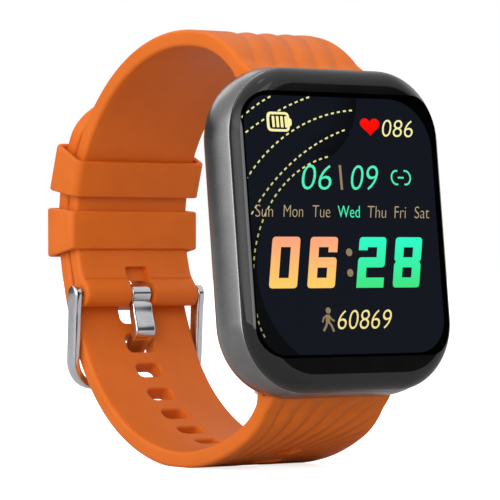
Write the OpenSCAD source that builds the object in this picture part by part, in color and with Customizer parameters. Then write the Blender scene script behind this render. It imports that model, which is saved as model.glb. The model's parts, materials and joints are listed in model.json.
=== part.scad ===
// Rectangular fitness watch on a silicone strap, buckled and standing on the strap's lower curve.
// Millimetres. X runs across the watch, -Y is the side of the glass, +Z is up.

/* [Case] */
// Width of the metal case
case_w = 37.8; // [34:0.2:42]
// Height of the metal case
case_h = 47.5; // [44:0.5:52]
// Depth of the case from the front of the glass to the flat of its back
case_d = 11; // [11:0.2:12]
// Radius of the case's four corners seen from the front
case_corner = 10.7; // [9:0.1:12]
// Radius of the rounded edge round the back of the case
back_edge = 3.5; // [2:0.5:4]
// Depth of the curved edge of the cover glass
glass_edge = 2.7; // [2:0.1:2.7]
// Angle at which the face leans back
lean = 6.57; // [0:0.01:10]

/* [Strap] */
// Width of the strap between the lugs
strap_w = 22; // [20:0.5:22]
// Width of the strap at the buckle
strap_end_w = 21; // [18:0.2:21]
// Thickness of the strap
strap_t = 2.5; // [2:0.1:2.6]
// Gap between the tail and the strap that it lies on
layer_gap = 0.3; // [0.2:0.05:0.5]
// Number of holes in the long strap
hole_count = 12; // [8:1:12]
// Distance from one hole to the next
hole_pitch = 5.05; // [4.8:0.05:5.2]
// Length of each hole across the strap
hole_w = 5; // [4.6:0.1:5.4]
// Length of each hole along the strap
hole_l = 3; // [3:0.1:3.2]

/* [Keepers] */
// Wall thickness of the keepers
keeper_wall = 0.9; // [0.8:0.1:1.2]
// Length of the loose keeper along the strap
loose_l = 6.2; // [5:0.1:6.4]
// Length of the fixed keeper along the strap
fixed_l = 6.4; // [6:0.1:8]

/* [Buckle] */
// Inner width of the buckle frame
buckle_in = 21.8; // [21.8:0.1:22.4]
// Thickness of the buckle's arms across the watch
arm_w = 1.3; // [1.2:0.1:1.6]
// Depth of the buckle's arms
arm_d = 2.2; // [1.8:0.1:2.2]
// Distance from the buckle's bar to the outer edge of its crossbar
buckle_reach = 14.8; // [14:0.1:15]
// Width of the tongue
tongue_w = 3.6; // [3:0.1:4]

/* [Hidden] */

// Smoothness of curves, and of the curves inside a hull
$fn = 48;
hull_fn = 32;
eps = 0.01;

// Colours
orange = [0.88, 0.44, 0.17];
gunmetal = [0.22, 0.23, 0.25];
steel = [0.8, 0.8, 0.82];
black = [0.03, 0.03, 0.035];
board_green = [0.05, 0.3, 0.15];

// The standing watch: distance from the middle of its depth to the face, and height of the face
loop_mid = 29.89;
face_height = 35.2;

// Case layers, as depths behind the front of the glass
half_w = case_w / 2;
half_h = case_h / 2;
seam = 2.95;
glass_inset = 0.2;
glass_pocket = 1.1;
rim_inset = 1.5;
tray_floor = 5.2;
cavity_back = 9.6;
cavity_hw = 14.2;
cavity_hh = 17.3;
cavity_r = 8;
cover_hw = 15.6;
cover_hh = 18.7;
cover_r = 4;
cover_gap = 0.1;
gasket_t = 0.3;
dome_r = 13;
dome_h = 1.2;
window_r = 6.5;
window_hole_r = 5.5;
screw_x = 13;
screw_z = 16.1;
screw_r = 0.7;
screw_head_r = 1.2;
pin_r = 1;
pin_pitch = 4;
pin_z = -15.4;

// Spring bars at the lugs, in the case's own frame
bar_depth = 8.7;
bar_reach = 22.3;
bar_r = 0.75;
bar_bore = 0.5;
tip_r = 0.45;
tip_end = 12.4;
bar_half = 10.3;
roll_r = 2;
notch_r = 2.35;
notch_half = 11.3;
lever_x = 9;
lever_len = 2.4;
release = 1.2;
tip_start = 4.5;

// Button on the side of the case
button_depth = 6.6;
button_z = 4;
button_l = 8;
button_h = 2.4;
button_out = 0.4;
button_cap = 1.4;
button_travel = 0.35;
stem_r = 0.9;
stem_clear = 0.06;
clip_r = 1.5;
clip_t = 0.3;

// Paths of the two straps in the plane across the wrist, as a start, a heading and a list of
// arcs, each with its radius and the angle that it turns through
upper_start = from_case([bar_depth, bar_reach]);
upper_heading = 52;
upper_arcs = [[17.4, -40], [30.4, -67], [24.4, -62]];
upper_end = walk_end(upper_arcs, upper_start, upper_heading);
band_r = 24.4;
band_centre = [upper_end[0] + band_r * sin(upper_end[2]), upper_end[1] - band_r * cos(upper_end[2])];
tail_r = band_r + strap_t + layer_gap;
lower_start = from_case([bar_depth, -bar_reach]);
lower_heading = -73;
lower_first = [[11, 43], [34.6, 26.5], [30.6, 34.5], [27.8, 31.5]];
lower_knee = walk_end(lower_first, lower_start, lower_heading);
// Radius of the arc that leads from there into the tail's circle without a kink
to_band = [band_centre[0] - lower_knee[0], band_centre[1] - lower_knee[1]];
knee_side = -to_band[0] * sin(lower_knee[2]) + to_band[1] * cos(lower_knee[2]);
join_r = (to_band * to_band - tail_r * tail_r) / (2 * (knee_side - tail_r));
join_centre = [lower_knee[0] - join_r * sin(lower_knee[2]),
    lower_knee[1] + join_r * cos(lower_knee[2])];
join_dir = atan2(join_centre[1] - band_centre[1], join_centre[0] - band_centre[0]);
join_turn = ((join_r < tail_r ? join_dir : join_dir + 180) + 450 - lower_knee[2]) % 360;
tip_heading = 133;
lower_arcs = concat(lower_first, [[join_r, join_turn], [tail_r, tip_heading - lower_knee[2] - join_turn]]);
path_step = 3;
// Place of the hole that the tongue is in, and number of holes between it and the tip
tongue_hole = 58.6;
holes_above = 2;
tip_round = 7;
taper_from = 12;
taper_to = 50;

// Keepers, as angles round the centre of the buckled part of the strap
fixed_angle = -2.9;
loose_angle = 17.5;
loose_clear = 0.3;
side_clear = 0.65;

// Buckle
bar_y = upper_end[0];
bar_z = upper_end[1];
buckle_tilt = 3;
buckle_corner = 5;
buckle_inner_r = 2.6;
pin_end = 11.9;
pin_start = 4;
tongue_slot = 2.3;
ring_in = 0.82;
ring_out = 1.5;
shank_t = 1.5;
blade_t = 1.1;
// The tongue's bend, the place where it passes the crossbar, and its end, from the bar
tongue_bend = [-1.7, -6.3];
tongue_pass = [2.9, -11.3];
tongue_end = [2.9, -13.9];

// ---- Frames and paths ----

// A point of the case's own frame, as [depth, height], in the frame of the leaning watch
function from_case(p) = [p[0] * cos(lean) + p[1] * sin(lean), -p[0] * sin(lean) + p[1] * cos(lean)];

// Point beside the end of an arc that starts at p with heading h
function arc_point(p, h, arc, turn, side) =
    let (r = arc[0] * sign(arc[1]))
    [p[0] - r * sin(h) + (r - side) * sin(h + turn), p[1] + r * cos(h) - (r - side) * cos(h + turn)];

// End of a chain of arcs, as [y, z, heading]
function walk_end(arcs, p, h, i = 0) = i == len(arcs) ? [p[0], p[1], h]
    : walk_end(arcs, arc_point(p, h, arcs[i], arcs[i][1], 0), h + arcs[i][1], i + 1);

// Points of the line that runs beside a chain of arcs, side to the left of the path
function walk(arcs, p, h, side, i = 0) = i == len(arcs) ? [arc_point(p, h, [1, 1], 0, side)]
    : concat(
        [for (t = [0 : path_step : abs(arcs[i][1]) - path_step / 2])
            arc_point(p, h, arcs[i], t * sign(arcs[i][1]), side)],
        walk(arcs, arc_point(p, h, arcs[i], arcs[i][1], 0), h + arcs[i][1], side, i + 1));

// Place and heading at a distance along a chain of arcs
function walk_at(arcs, p, h, s, i = 0) =
    let (arc = arcs[i], l = arc[0] * abs(arc[1]) * PI / 180, turn = arc[1] * min(1, s / l))
    s <= l || i == len(arcs) - 1 ? concat(arc_point(p, h, arc, turn, 0), [h + turn])
    : walk_at(arcs, arc_point(p, h, arc, arc[1], 0), h + arc[1], s - l, i + 1);

function reversed(v) = [for (i = [len(v) - 1 : -1 : 0]) v[i]];

module standing() translate([0, -loop_mid, face_height]) children();
module in_case() standing() rotate([-lean, 0, 0]) children();

// Turns an outline drawn as (y, z) into a slab across the watch
module across(width) rotate([90, 0, 90]) linear_extrude(width, center = true) children();

// A rod across the watch from x0 to x1
module rod(r, x0, x1) translate([x0, 0, 0]) rotate([0, 90, 0]) cylinder(r = r, h = x1 - x0);

// A tube across the watch from x0 to x1
module tube(r_out, r_in, x0, x1) difference() {
    rod(r_out, x0, x1);
    rod(r_in, x0 - eps, x1 + eps);
}

// ---- Shapes in the case's own frame: X across, Y into the watch, Z up ----

module rounded_rect(hw, hh, r) union() {
    square([2 * hw, 2 * (hh - r)], center = true);
    square([2 * (hw - r), 2 * hh], center = true);
    for (x = [-1, 1], z = [-1, 1]) translate([x * (hw - r), z * (hh - r)]) circle(r);
}

module plate(hw, hh, r, y0, y1) translate([0, y1, 0]) rotate([90, 0, 0])
    linear_extrude(y1 - y0) rounded_rect(hw, hh, r);

module frame_plate(hw, hh, r, wall, y0, y1) difference() {
    plate(hw, hh, r, y0, y1);
    plate(hw - wall, hh - wall, r - wall, y0 - eps, y1 + eps);
}

// Rounded shell whose edge profile, as (radius, -depth), is turned round each corner
module cornered(hw, hh, r) hull()
    for (x = [-1, 1], z = [-1, 1]) translate([x * (hw - r), 0, z * (hh - r)])
        rotate([90, 0, 0]) rotate_extrude($fn = hull_fn) children();

module disc(r, y0, y1) translate([0, y1, 0]) rotate([90, 0, 0]) cylinder(r = r, h = y1 - y0);

// Quarter round from angle a0 to a1, as points
function quarter(c, r, a0, a1) = [for (k = [0 : 6])
    let (a = a0 + (a1 - a0) * k / 6)
    c + r * [cos(a), sin(a)]];

// ---- Case ----

module case_outer() cornered(half_w, half_h, case_corner) polygon(concat(
    [[0, -seam], [case_corner - 0.25, -seam], [case_corner, -seam - 0.25]],
    quarter([case_corner - back_edge, back_edge - case_d], back_edge, 0, -90), [[0, -case_d]]));

// Recess for a strap end, open to the back and away from the case
module lug_notch() {
    translate([0, bar_depth, bar_reach]) rod(notch_r, -notch_half, notch_half);
    translate([-notch_half, bar_depth - notch_r, bar_reach])
        cube([2 * notch_half, case_d, case_h]);
    translate([-notch_half, bar_depth, bar_reach - notch_r])
        cube([2 * notch_half, case_d, case_h]);
    translate([0, bar_depth, bar_reach]) rod(bar_bore, -tip_end - 0.2, tip_end + 0.2);
}

module button_outline(grow) {
    square([button_h + 2 * grow, button_l - button_h], center = true);
    for (z = [-1, 1]) translate([0, z * (button_l - button_h) / 2]) circle(button_h / 2 + grow);
}

module case_body() in_case() color(gunmetal) difference() {
    case_outer();
    plate(half_w - rim_inset, half_h - rim_inset, case_corner - rim_inset, 0, tray_floor);
    plate(cavity_hw, cavity_hh, cavity_r, tray_floor - eps, cavity_back + eps);
    plate(cover_hw, cover_hh, cover_r, cavity_back, case_d + 1);
    lug_notch();
    mirror([0, 0, 1]) lug_notch();
    translate([half_w - button_cap + button_out - button_travel - 0.05, button_depth, button_z])
        rotate([90, 0, 90]) linear_extrude(3) button_outline(0.12);
    translate([0, button_depth, button_z]) {
        rod(stem_r + stem_clear, cavity_hw - 1, half_w);
        rod(1.3, cavity_hw + 1.2, cavity_hw + 1.9);
    }
    for (x = [-1, 1], z = [-1, 1]) translate([x * screw_x, 0, z * screw_z])
        disc(screw_r, 6.6, cavity_back + eps);
}

module cover_glass() in_case() color(black) difference() {
    cornered(half_w - glass_inset, half_h - glass_inset, case_corner - glass_inset) polygon(concat(
        [[0, -glass_edge], [case_corner - glass_inset, -glass_edge]],
        quarter([case_corner - glass_inset - glass_edge, -glass_edge], glass_edge, 0, 90), [[0, 0]]));
    plate(half_w - rim_inset, half_h - rim_inset, case_corner - rim_inset, glass_pocket, glass_edge + 1);
}

module glass_gasket() in_case() color("black")
    frame_plate(half_w - 0.6, half_h - 0.6, case_corner - 0.6, 0.9, glass_edge, seam);

module display_panel() in_case() color(black)
    plate(half_w - 1.7, half_h - 1.7, case_corner - 1.7, glass_pocket, 2.3);

module display_frame() in_case() color("dimgray")
    frame_plate(half_w - 1.8, half_h - 1.8, case_corner - 1.8, 3, 2.3, 3.4);

module main_board() in_case() color(board_green) {
    difference() {
        plate(13.3, 16.4, 7, 7.7, 8.5);
        for (x = [-1, 1]) translate([x * 6, 0, -12.5]) disc(0.5, 7, 9);
    }
    for (chip = [[-6, 6, 8, 8], [5, 8, 6, 5], [4, -4, 7, 6], [-7, -6, 4, 3]])
        translate([chip[0] - chip[2] / 2, 8.5 - eps, chip[1] - chip[3] / 2]) cube([chip[2], 0.7, chip[3]]);
}

module battery() in_case() color("silver") plate(10.8, 10.1, 2, 3.6, 7.4);

module vibration_motor() in_case() color("lightgray") translate([-6, 0, -13.6]) {
    disc(3.3, 5.3, 7.5);
    disc(1, 7.4, 7.7);
}

module gps_antenna() in_case() color("tan") translate([-8, 3.5, 11.6]) {
    cube([16, 1.6, 4.6]);
    translate([7, 1.5, 1.8]) cube([2, 2.7, 1]);
}

module button_switch() in_case() color("gray") translate([11.1, 5.8, button_z - 2]) cube([1.9, 1.9, 4]);

module sensor_board() in_case() color(board_green) difference() {
    disc(9.5, 9.3, 9.8);
    translate([0, 0, 8]) disc(0.5, 9, 10);
}

module sensor_leds() in_case() color("palegreen") {
    for (a = [0 : 90 : 270]) rotate([0, a, 0]) translate([2.6, 9.8, -0.7]) cube([1.4, 0.5, 1.4]);
    translate([-1.1, 9.8, -1.1]) cube([2.2, 0.6, 2.2]);
}

module back_cover() in_case() color(black) difference() {
    union() {
        plate(cover_hw - cover_gap, cover_hh - cover_gap, cover_r - cover_gap,
            cavity_back + gasket_t, case_d);
        rotate([90, 0, 0]) rotate_extrude() polygon(concat([[0, -case_d + 0.5], [dome_r, -case_d + 0.5]],
            quarter([dome_r - dome_h, -case_d], dome_h, 0, -90), [[0, -case_d - dome_h]]));
    }
    disc(window_hole_r, 9, case_d + 2);
    disc(window_r + 0.05, case_d, case_d + 2);
    for (x = [-1, 1]) translate([x * pin_pitch / 2, 0, pin_z]) disc(pin_r, 9, case_d + 1);
    for (x = [-1, 1], z = [-1, 1]) translate([x * screw_x, 0, z * screw_z]) {
        disc(screw_r, 9, case_d + 1);
        disc(screw_head_r, case_d - 0.6, case_d + 1);
    }
}

module back_gasket() in_case() color("black") difference() {
    plate(cover_hw - 0.15, cover_hh - 0.15, cover_r - 0.15, cavity_back, cavity_back + gasket_t);
    plate(cavity_hw + 0.2, cavity_hh + 0.2, cavity_r + 1.2, 9, 11);
    for (x = [-1, 1], z = [-1, 1]) translate([x * screw_x, 0, z * screw_z]) disc(screw_head_r, 9, 11);
}

module sensor_window() in_case() color([0.05, 0.06, 0.08]) disc(window_r, case_d, case_d + dome_h);

module charging_pins() in_case() color("gold")
    for (x = [-1, 1]) translate([x * pin_pitch / 2, 0, pin_z]) disc(pin_r, cavity_back, case_d);

module case_screws() in_case() color(steel)
    for (x = [-1, 1], z = [-1, 1]) translate([x * screw_x, 0, z * screw_z]) difference() {
        union() {
            disc(screw_r, 7, case_d - 0.5);
            disc(screw_head_r, case_d - 0.6, case_d - 0.05);
        }
        translate([-0.9, case_d - 0.3, -0.15]) cube([1.8, 1, 0.3]);
        translate([-0.15, case_d - 0.3, -0.9]) cube([0.3, 1, 1.8]);
    }

// ---- Side button ----

module side_button() in_case() color(gunmetal) translate([0, button_depth, button_z]) {
    translate([half_w + button_out - button_cap, 0, 0]) rotate([90, 0, 90])
        linear_extrude(button_cap) button_outline(0);
    difference() {
        rod(stem_r, cavity_hw - 0.8, half_w - 0.8);
        tube(stem_r + 1, stem_r - 0.3, cavity_hw - 0.45, cavity_hw - 0.45 + clip_t);
    }
}

module button_clip() in_case() color(steel) translate([0, button_depth, button_z])
    tube(clip_r, stem_r - 0.3, cavity_hw - 0.45, cavity_hw - 0.45 + clip_t);

module button_seal() in_case() color("black") translate([cavity_hw + 1.55, button_depth, button_z])
    rotate([0, 90, 0]) rotate_extrude() translate([stem_r + 0.2, 0]) circle(0.17, $fn = 16);

// ---- Spring bars at the lugs ----

module lug_bar_tube(side) in_case() color(steel) translate([0, bar_depth, side * bar_reach]) difference() {
    union() {
        rod(bar_r, -bar_half, bar_half);
        rod(tip_r, -tip_end, -bar_half + eps);
    }
    rod(bar_bore, -8, bar_half + eps);
    translate([lever_x - release - 0.6, 0, -0.55]) cube([release + 1.2, 1, 1.1]);
}

module lug_bar_tip(side) in_case() color(steel) translate([0, bar_depth, side * bar_reach]) {
    rod(tip_r, tip_start, tip_end);
    translate([lever_x, 0, 0]) disc(tip_r, 0, lever_len);
}

module lug_bar_spring(side) in_case() color("gray") translate([0, bar_depth, side * bar_reach])
    tube(0.45, 0.3, -8, tip_start);

module upper_bar_tube() lug_bar_tube(1);
module upper_bar_tip() lug_bar_tip(1);
module upper_bar_spring() lug_bar_spring(1);
module lower_bar_tube() lug_bar_tube(-1);
module lower_bar_tip() lug_bar_tip(-1);
module lower_bar_spring() lug_bar_spring(-1);

// ---- Straps, in the frame of the leaning watch ----

module band_side(arcs, p, h) polygon(concat(
    walk(arcs, p, h, strap_t / 2),
    reversed(walk(arcs, p, h, -strap_t / 2))));

// Plan of a strap: full width at the case, narrower from the turn to the buckle
module band_plan(low, high) translate([0, 0, low]) linear_extrude(high - low) polygon([
    [-strap_w / 2, 0], [strap_w / 2, 0], [strap_w / 2, taper_from], [strap_end_w / 2, taper_to],
    [strap_end_w / 2, 80], [-strap_end_w / 2, 80], [-strap_end_w / 2, taper_to], [-strap_w / 2, taper_from]]);

// Bore and lever slot of the strap end that holds a lug bar
module lug_bar_room(side) rotate([-lean, 0, 0]) translate([0, bar_depth, side * bar_reach]) {
    rod(bar_r + 0.05, -strap_w, strap_w);
    translate([lever_x - release - 0.7, 0, -0.65]) cube([release + 1.4, 2 * roll_r, 1.3]);
}

module upper_strap() standing() color(orange) difference() {
    intersection() {
        union() {
            across(strap_w) band_side(upper_arcs, upper_start, upper_heading);
            translate([0, upper_start[0], upper_start[1]]) rod(roll_r, -strap_w / 2, strap_w / 2);
            translate([0, bar_y, bar_z]) rod(roll_r, -strap_w / 2, strap_w / 2);
        }
        band_plan(-20, 40);
    }
    lug_bar_room(1);
    translate([0, bar_y, bar_z]) rod(bar_r + 0.05, -strap_w, strap_w);
    translate([-tongue_slot, bar_y - 3, bar_z - 4]) cube([2 * tongue_slot, 6, 7.2]);
}

module hole_cut(s) {
    place = walk_at(lower_arcs, lower_start, lower_heading, s);
    translate([0, place[0], place[1]]) rotate([place[2], 0, 0]) linear_extrude(2 * strap_t, center = true)
        rounded_rect(hole_w / 2, hole_l / 2, 0.8);
}

// Rounds one corner of the tail's end for each side
module tail_tip_cut() {
    tip = walk_end(lower_arcs, lower_start, lower_heading);
    for (x = [0, 1]) translate([0, tip[0], tip[1]]) rotate([tip[2], 0, 0]) mirror([x, 0, 0])
        translate([strap_end_w / 2 - tip_round, -tip_round, -3]) linear_extrude(6) difference() {
            square(tip_round + 1);
            circle(tip_round);
        }
}

module lower_strap() standing() color(orange) difference() {
    intersection() {
        union() {
            across(strap_w) band_side(lower_arcs, lower_start, lower_heading);
            translate([0, lower_start[0], lower_start[1]]) rod(roll_r, -strap_w / 2, strap_w / 2);
        }
        band_plan(-face_height, 40);
    }
    lug_bar_room(-1);
    for (k = [0 : hole_count - 1]) hole_cut(tongue_hole + (holes_above - k) * hole_pitch);
    tail_tip_cut();
}

// ---- Keepers: bands round both layers, curved about the centre of the buckled part ----

module keeper_band(angle, length, r_in, r_out, half) {
    span = length / band_r * 180 / PI;
    translate([0, band_centre[0], band_centre[1]]) rotate([angle - span / 2, 0, 0]) rotate([90, 0, 90])
        rotate_extrude(angle = span) difference() {
            translate([r_in - keeper_wall, -half - keeper_wall])
                square([r_out - r_in + 2 * keeper_wall, 2 * (half + keeper_wall)]);
            translate([r_in, -half]) square([r_out - r_in, 2 * half]);
        }
}

module fixed_keeper() standing() color(orange)
    keeper_band(fixed_angle, fixed_l, band_r - strap_t / 2 + 0.05, tail_r + strap_t / 2 + loose_clear,
        strap_end_w / 2 + side_clear);

module loose_keeper() standing() color(orange)
    keeper_band(loose_angle, loose_l, band_r - strap_t / 2 - loose_clear, tail_r + strap_t / 2 + loose_clear,
        strap_end_w / 2 + side_clear);

// ---- Buckle, built round its bar ----

module at_bar() standing() translate([0, bar_y, bar_z]) children();

module buckle_outline() {
    half = buckle_in / 2 + arm_w;
    inner_x = buckle_in / 2 - buckle_inner_r;
    inner_z = arm_w + buckle_inner_r - buckle_reach;
    difference() {
        union() {
            translate([-half, buckle_corner - buckle_reach]) square([2 * half, buckle_reach - buckle_corner]);
            translate([buckle_corner - half, -buckle_reach])
                square([2 * (half - buckle_corner), buckle_corner]);
            for (x = [-1, 1]) translate([x * (half - buckle_corner), buckle_corner - buckle_reach])
                circle(buckle_corner);
        }
        translate([-buckle_in / 2, inner_z]) square([buckle_in, buckle_reach]);
        translate([-inner_x, arm_w - buckle_reach]) square([2 * inner_x, buckle_corner]);
        for (x = [-1, 1]) translate([x * inner_x, inner_z]) circle(buckle_inner_r);
    }
}

module buckle_frame() at_bar() rotate([buckle_tilt, 0, 0]) color(steel) difference() {
    union() {
        translate([0, arm_d / 2, 0]) rotate([90, 0, 0]) linear_extrude(arm_d) buckle_outline();
        for (x = [-1, 1]) translate([x * (buckle_in + arm_w) / 2, 0, 0])
            rod(arm_d / 2 + 0.2, -arm_w / 2, arm_w / 2);
    }
    rod(bar_bore, -pin_end - 0.1, pin_end + 0.1);
}

// A bar between two points of an outline, with round ends
module link(a, b, t) {
    run = b - a;
    translate(a) rotate(atan2(run[1], run[0])) translate([0, -t / 2]) square([norm(run), t]);
    translate(a) circle(t / 2);
    translate(b) circle(t / 2);
}

module buckle_tongue() at_bar() color(steel) difference() {
    across(tongue_w) {
        circle(ring_out);
        link([0, 0], tongue_bend, shank_t);
        link(tongue_bend, tongue_pass, blade_t);
        link(tongue_pass, tongue_end, blade_t);
    }
    rod(ring_in, -tongue_w, tongue_w);
}

module buckle_bar_tube() at_bar() color(steel)
    tube(bar_r, bar_bore, 0.3 - strap_end_w / 2, strap_end_w / 2 - 0.3);
module buckle_pin_left() at_bar() color(steel) rod(tip_r, -pin_end, -pin_start);
module buckle_pin_right() at_bar() color(steel) rod(tip_r, pin_start, pin_end);
module buckle_bar_spring() at_bar() color("gray") tube(0.45, 0.3, -pin_start, pin_start);

case_body();
cover_glass();
glass_gasket();
display_panel();
display_frame();
main_board();
battery();
vibration_motor();
gps_antenna();
button_switch();
sensor_board();
sensor_leds();
back_cover();
back_gasket();
sensor_window();
charging_pins();
case_screws();
side_button();
button_clip();
button_seal();
upper_strap();
lower_strap();
fixed_keeper();
loose_keeper();
upper_bar_tube();
upper_bar_tip();
upper_bar_spring();
lower_bar_tube();
lower_bar_tip();
lower_bar_spring();
buckle_frame();
buckle_tongue();
buckle_bar_tube();
buckle_pin_left();
buckle_pin_right();
buckle_bar_spring();
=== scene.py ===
"""Looks of the fitness watch: a gunmetal case under a curved glass, on a buckled silicone strap."""

import json
import math

import bmesh
import bpy
from mathutils import Matrix, Vector


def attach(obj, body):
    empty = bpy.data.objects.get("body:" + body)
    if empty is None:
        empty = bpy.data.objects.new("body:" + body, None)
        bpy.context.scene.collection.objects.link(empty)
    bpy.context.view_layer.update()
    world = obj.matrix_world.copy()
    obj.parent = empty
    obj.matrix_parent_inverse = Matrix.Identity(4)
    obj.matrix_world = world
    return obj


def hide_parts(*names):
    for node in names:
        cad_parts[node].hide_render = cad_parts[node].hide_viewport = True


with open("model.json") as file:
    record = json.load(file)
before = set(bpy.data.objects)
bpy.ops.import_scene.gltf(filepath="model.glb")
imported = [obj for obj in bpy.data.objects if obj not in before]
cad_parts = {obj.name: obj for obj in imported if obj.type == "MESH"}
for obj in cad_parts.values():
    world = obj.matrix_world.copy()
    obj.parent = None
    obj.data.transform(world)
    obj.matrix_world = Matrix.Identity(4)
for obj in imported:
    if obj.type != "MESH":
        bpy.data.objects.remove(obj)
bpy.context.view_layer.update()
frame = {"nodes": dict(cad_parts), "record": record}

# ---- Sizes of the CAD model, in millimetres and degrees ----

MM = 0.001
LEAN = math.radians(6.57)
LOOP_MID, FACE_HEIGHT = 29.89, 35.2
HALF_W, HALF_H, CORNER, CASE_D = 18.9, 23.75, 10.7, 11.0
SEAM, RIM = 2.95, 1.5
GLASS_EDGE, GLASS_INSET = 2.7, 0.5
COVER = (15.6, 18.7, 4.0)
CAVITY = (14.2, 17.3, 8.0)
CAVITY_BACK, TRAY_FLOOR = 9.6, 5.2
BAR_DEPTH, BAR_REACH, NOTCH_R, NOTCH_HALF = 8.7, 22.3, 2.35, 11.3
BAR_R, TIP_HOLE_R, TIP_END = 0.75, 0.5, 12.4
BORE_R = BAR_R + 0.05
LEVER_X, RELEASE = 9.0, 1.2
BUTTON = dict(depth=6.6, z=4.0, length=8.0, width=2.4, out=0.4, cap=1.4)

STRAP_W, STRAP_END_W, STRAP_T, ROLL_R = 22.0, 21.0, 2.5, 2.0
TAPER_FROM, TAPER_TO, TIP_ROUND = 12.0, 50.0, 7.0
UPPER_ARCS = [(17.4, -40), (30.4, -67), (24.4, -62)]
LOWER_ARCS = [(11, 43), (34.6, 26.5), (30.6, 34.5), (27.8, 31.5), (50.552, 19.0109), (27.2, 51.4891)]
UPPER_HEADING, LOWER_HEADING = 52, -73
HOLE_COUNT, HOLE_PITCH, HOLE_SIZE, FREE_HOLE = 12, 5.05, (5.0, 3.0), (4.4, 2.4)
TONGUE_HOLE, HOLES_ABOVE = 58.6, 2

BAND_R, TAIL_R = 24.4, 27.2
KEEPER_WALL, KEEPER_CLEAR, KEEPER_SIDE = 0.9, 0.3, 0.65
FIXED = dict(angle=-2.9, length=6.4, inner=23.2, tilt=2.9)
LOOSE = dict(angle=17.5, length=6.2, inner=22.85, tilt=0)
BUCKLE_IN, ARM_W, ARM_D, BUCKLE_REACH, BUCKLE_TILT = 21.8, 1.3, 2.2, 14.8, 3
TONGUE_W, TONGUE_SLOT = 3.6, 2.3


# ---- Frames ----

def row(x, y, z):
    """A point of the leaning watch's plane frame, in millimetres, as a point of the row frame."""
    return Vector((x, y - LOOP_MID, z + FACE_HEIGHT)) * MM


def in_case(x, depth, height):
    """A point of the case's own frame as a point of the row frame."""
    return row(x, depth * math.cos(LEAN) + height * math.sin(LEAN),
               height * math.cos(LEAN) - depth * math.sin(LEAN))


def case_yz(depth, height):
    return (depth * math.cos(LEAN) + height * math.sin(LEAN),
            height * math.cos(LEAN) - depth * math.sin(LEAN))


def arc_point(p, heading, arc, turn, side):
    """Point beside an arc that starts at p, after turning through `turn` degrees. Left is positive."""
    r = math.copysign(arc[0], arc[1])
    a, b = math.radians(heading), math.radians(heading + turn)
    return (p[0] - r * math.sin(a) + (r - side) * math.sin(b),
            p[1] + r * math.cos(a) - (r - side) * math.cos(b))


class Path:
    """Chain of arcs across the wrist, that runs straight on past both of its ends."""

    def __init__(self, arcs, start, heading):
        self.legs, self.length = [], 0.0
        for arc in arcs:
            run = arc[0] * math.radians(abs(arc[1]))
            self.legs.append((self.length, run, start, heading, arc))
            start = arc_point(start, heading, arc, arc[1], 0)
            heading += arc[1]
            self.length += run
        self.end, self.end_heading = start, heading

    def at(self, s, side=0.0):
        """(y, z) at distance s, moved `side` to the left."""
        if s > self.length:
            a, past, p = math.radians(self.end_heading), s - self.length, self.end
            return (p[0] + past * math.cos(a) - side * math.sin(a),
                    p[1] + past * math.sin(a) + side * math.cos(a))
        first, run, p, heading, arc = [leg for leg in self.legs if leg[0] <= max(s, 0)][-1]
        if s < 0:
            a = math.radians(heading)
            return (p[0] + s * math.cos(a) - side * math.sin(a),
                    p[1] + s * math.sin(a) + side * math.cos(a))
        return arc_point(p, heading, arc, arc[1] * (s - first) / run, side)

    def heading(self, s):
        first, run, p, heading, arc = [leg for leg in self.legs if leg[0] <= max(s, 0)][-1]
        return heading + arc[1] * min(1.0, max(s - first, 0) / run)


UPPER = Path(UPPER_ARCS, case_yz(BAR_DEPTH, BAR_REACH), UPPER_HEADING)
LOWER = Path(LOWER_ARCS, case_yz(BAR_DEPTH, -BAR_REACH), LOWER_HEADING)
BAR = UPPER.end
BAND = (BAR[0] + BAND_R * math.sin(math.radians(UPPER.end_heading)),
        BAR[1] - BAND_R * math.cos(math.radians(UPPER.end_heading)))


# ---- Camera ----

camera = bpy.data.objects.new("camera", bpy.data.cameras.new("camera"))
bpy.context.scene.collection.objects.link(camera)
bpy.context.scene.camera = camera
SENSOR_MM, LENS_MM = 36, 225.57
camera.data.sensor_width, camera.data.lens = SENSOR_MM, LENS_MM
camera.data.clip_start, camera.data.clip_end = 0.01, 20
CAMERA_RIGHT = Vector((0.80568, -0.59235, 0.0)).normalized()
CAMERA_BACK = -Vector((0.59235, 0.80568, 0.00217)).normalized()
camera.matrix_world = Matrix.Translation((-0.27606, -0.38092, 0.03106)) @ Matrix(
    (CAMERA_RIGHT, CAMERA_BACK.cross(CAMERA_RIGHT), CAMERA_BACK)).transposed().to_4x4()


# ---- Materials ----

def linear(r, g, b):
    """An 8-bit sRGB colour as linear RGBA."""
    return tuple((c / 255 / 12.92 if c / 255 <= 0.04045 else ((c / 255 + 0.055) / 1.055) ** 2.4)
                 for c in (r, g, b)) + (1.0,)


def node(tree, kind, **inputs):
    n = tree.nodes.new("ShaderNode" + kind)
    for key, value in inputs.items():
        n.inputs[key.replace("_", " ")].default_value = value
    return n


def new_material(name):
    m = bpy.data.materials.new(name)
    m.use_nodes = True
    shader = m.node_tree.nodes["Principled BSDF"]
    return m, m.node_tree, shader


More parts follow.
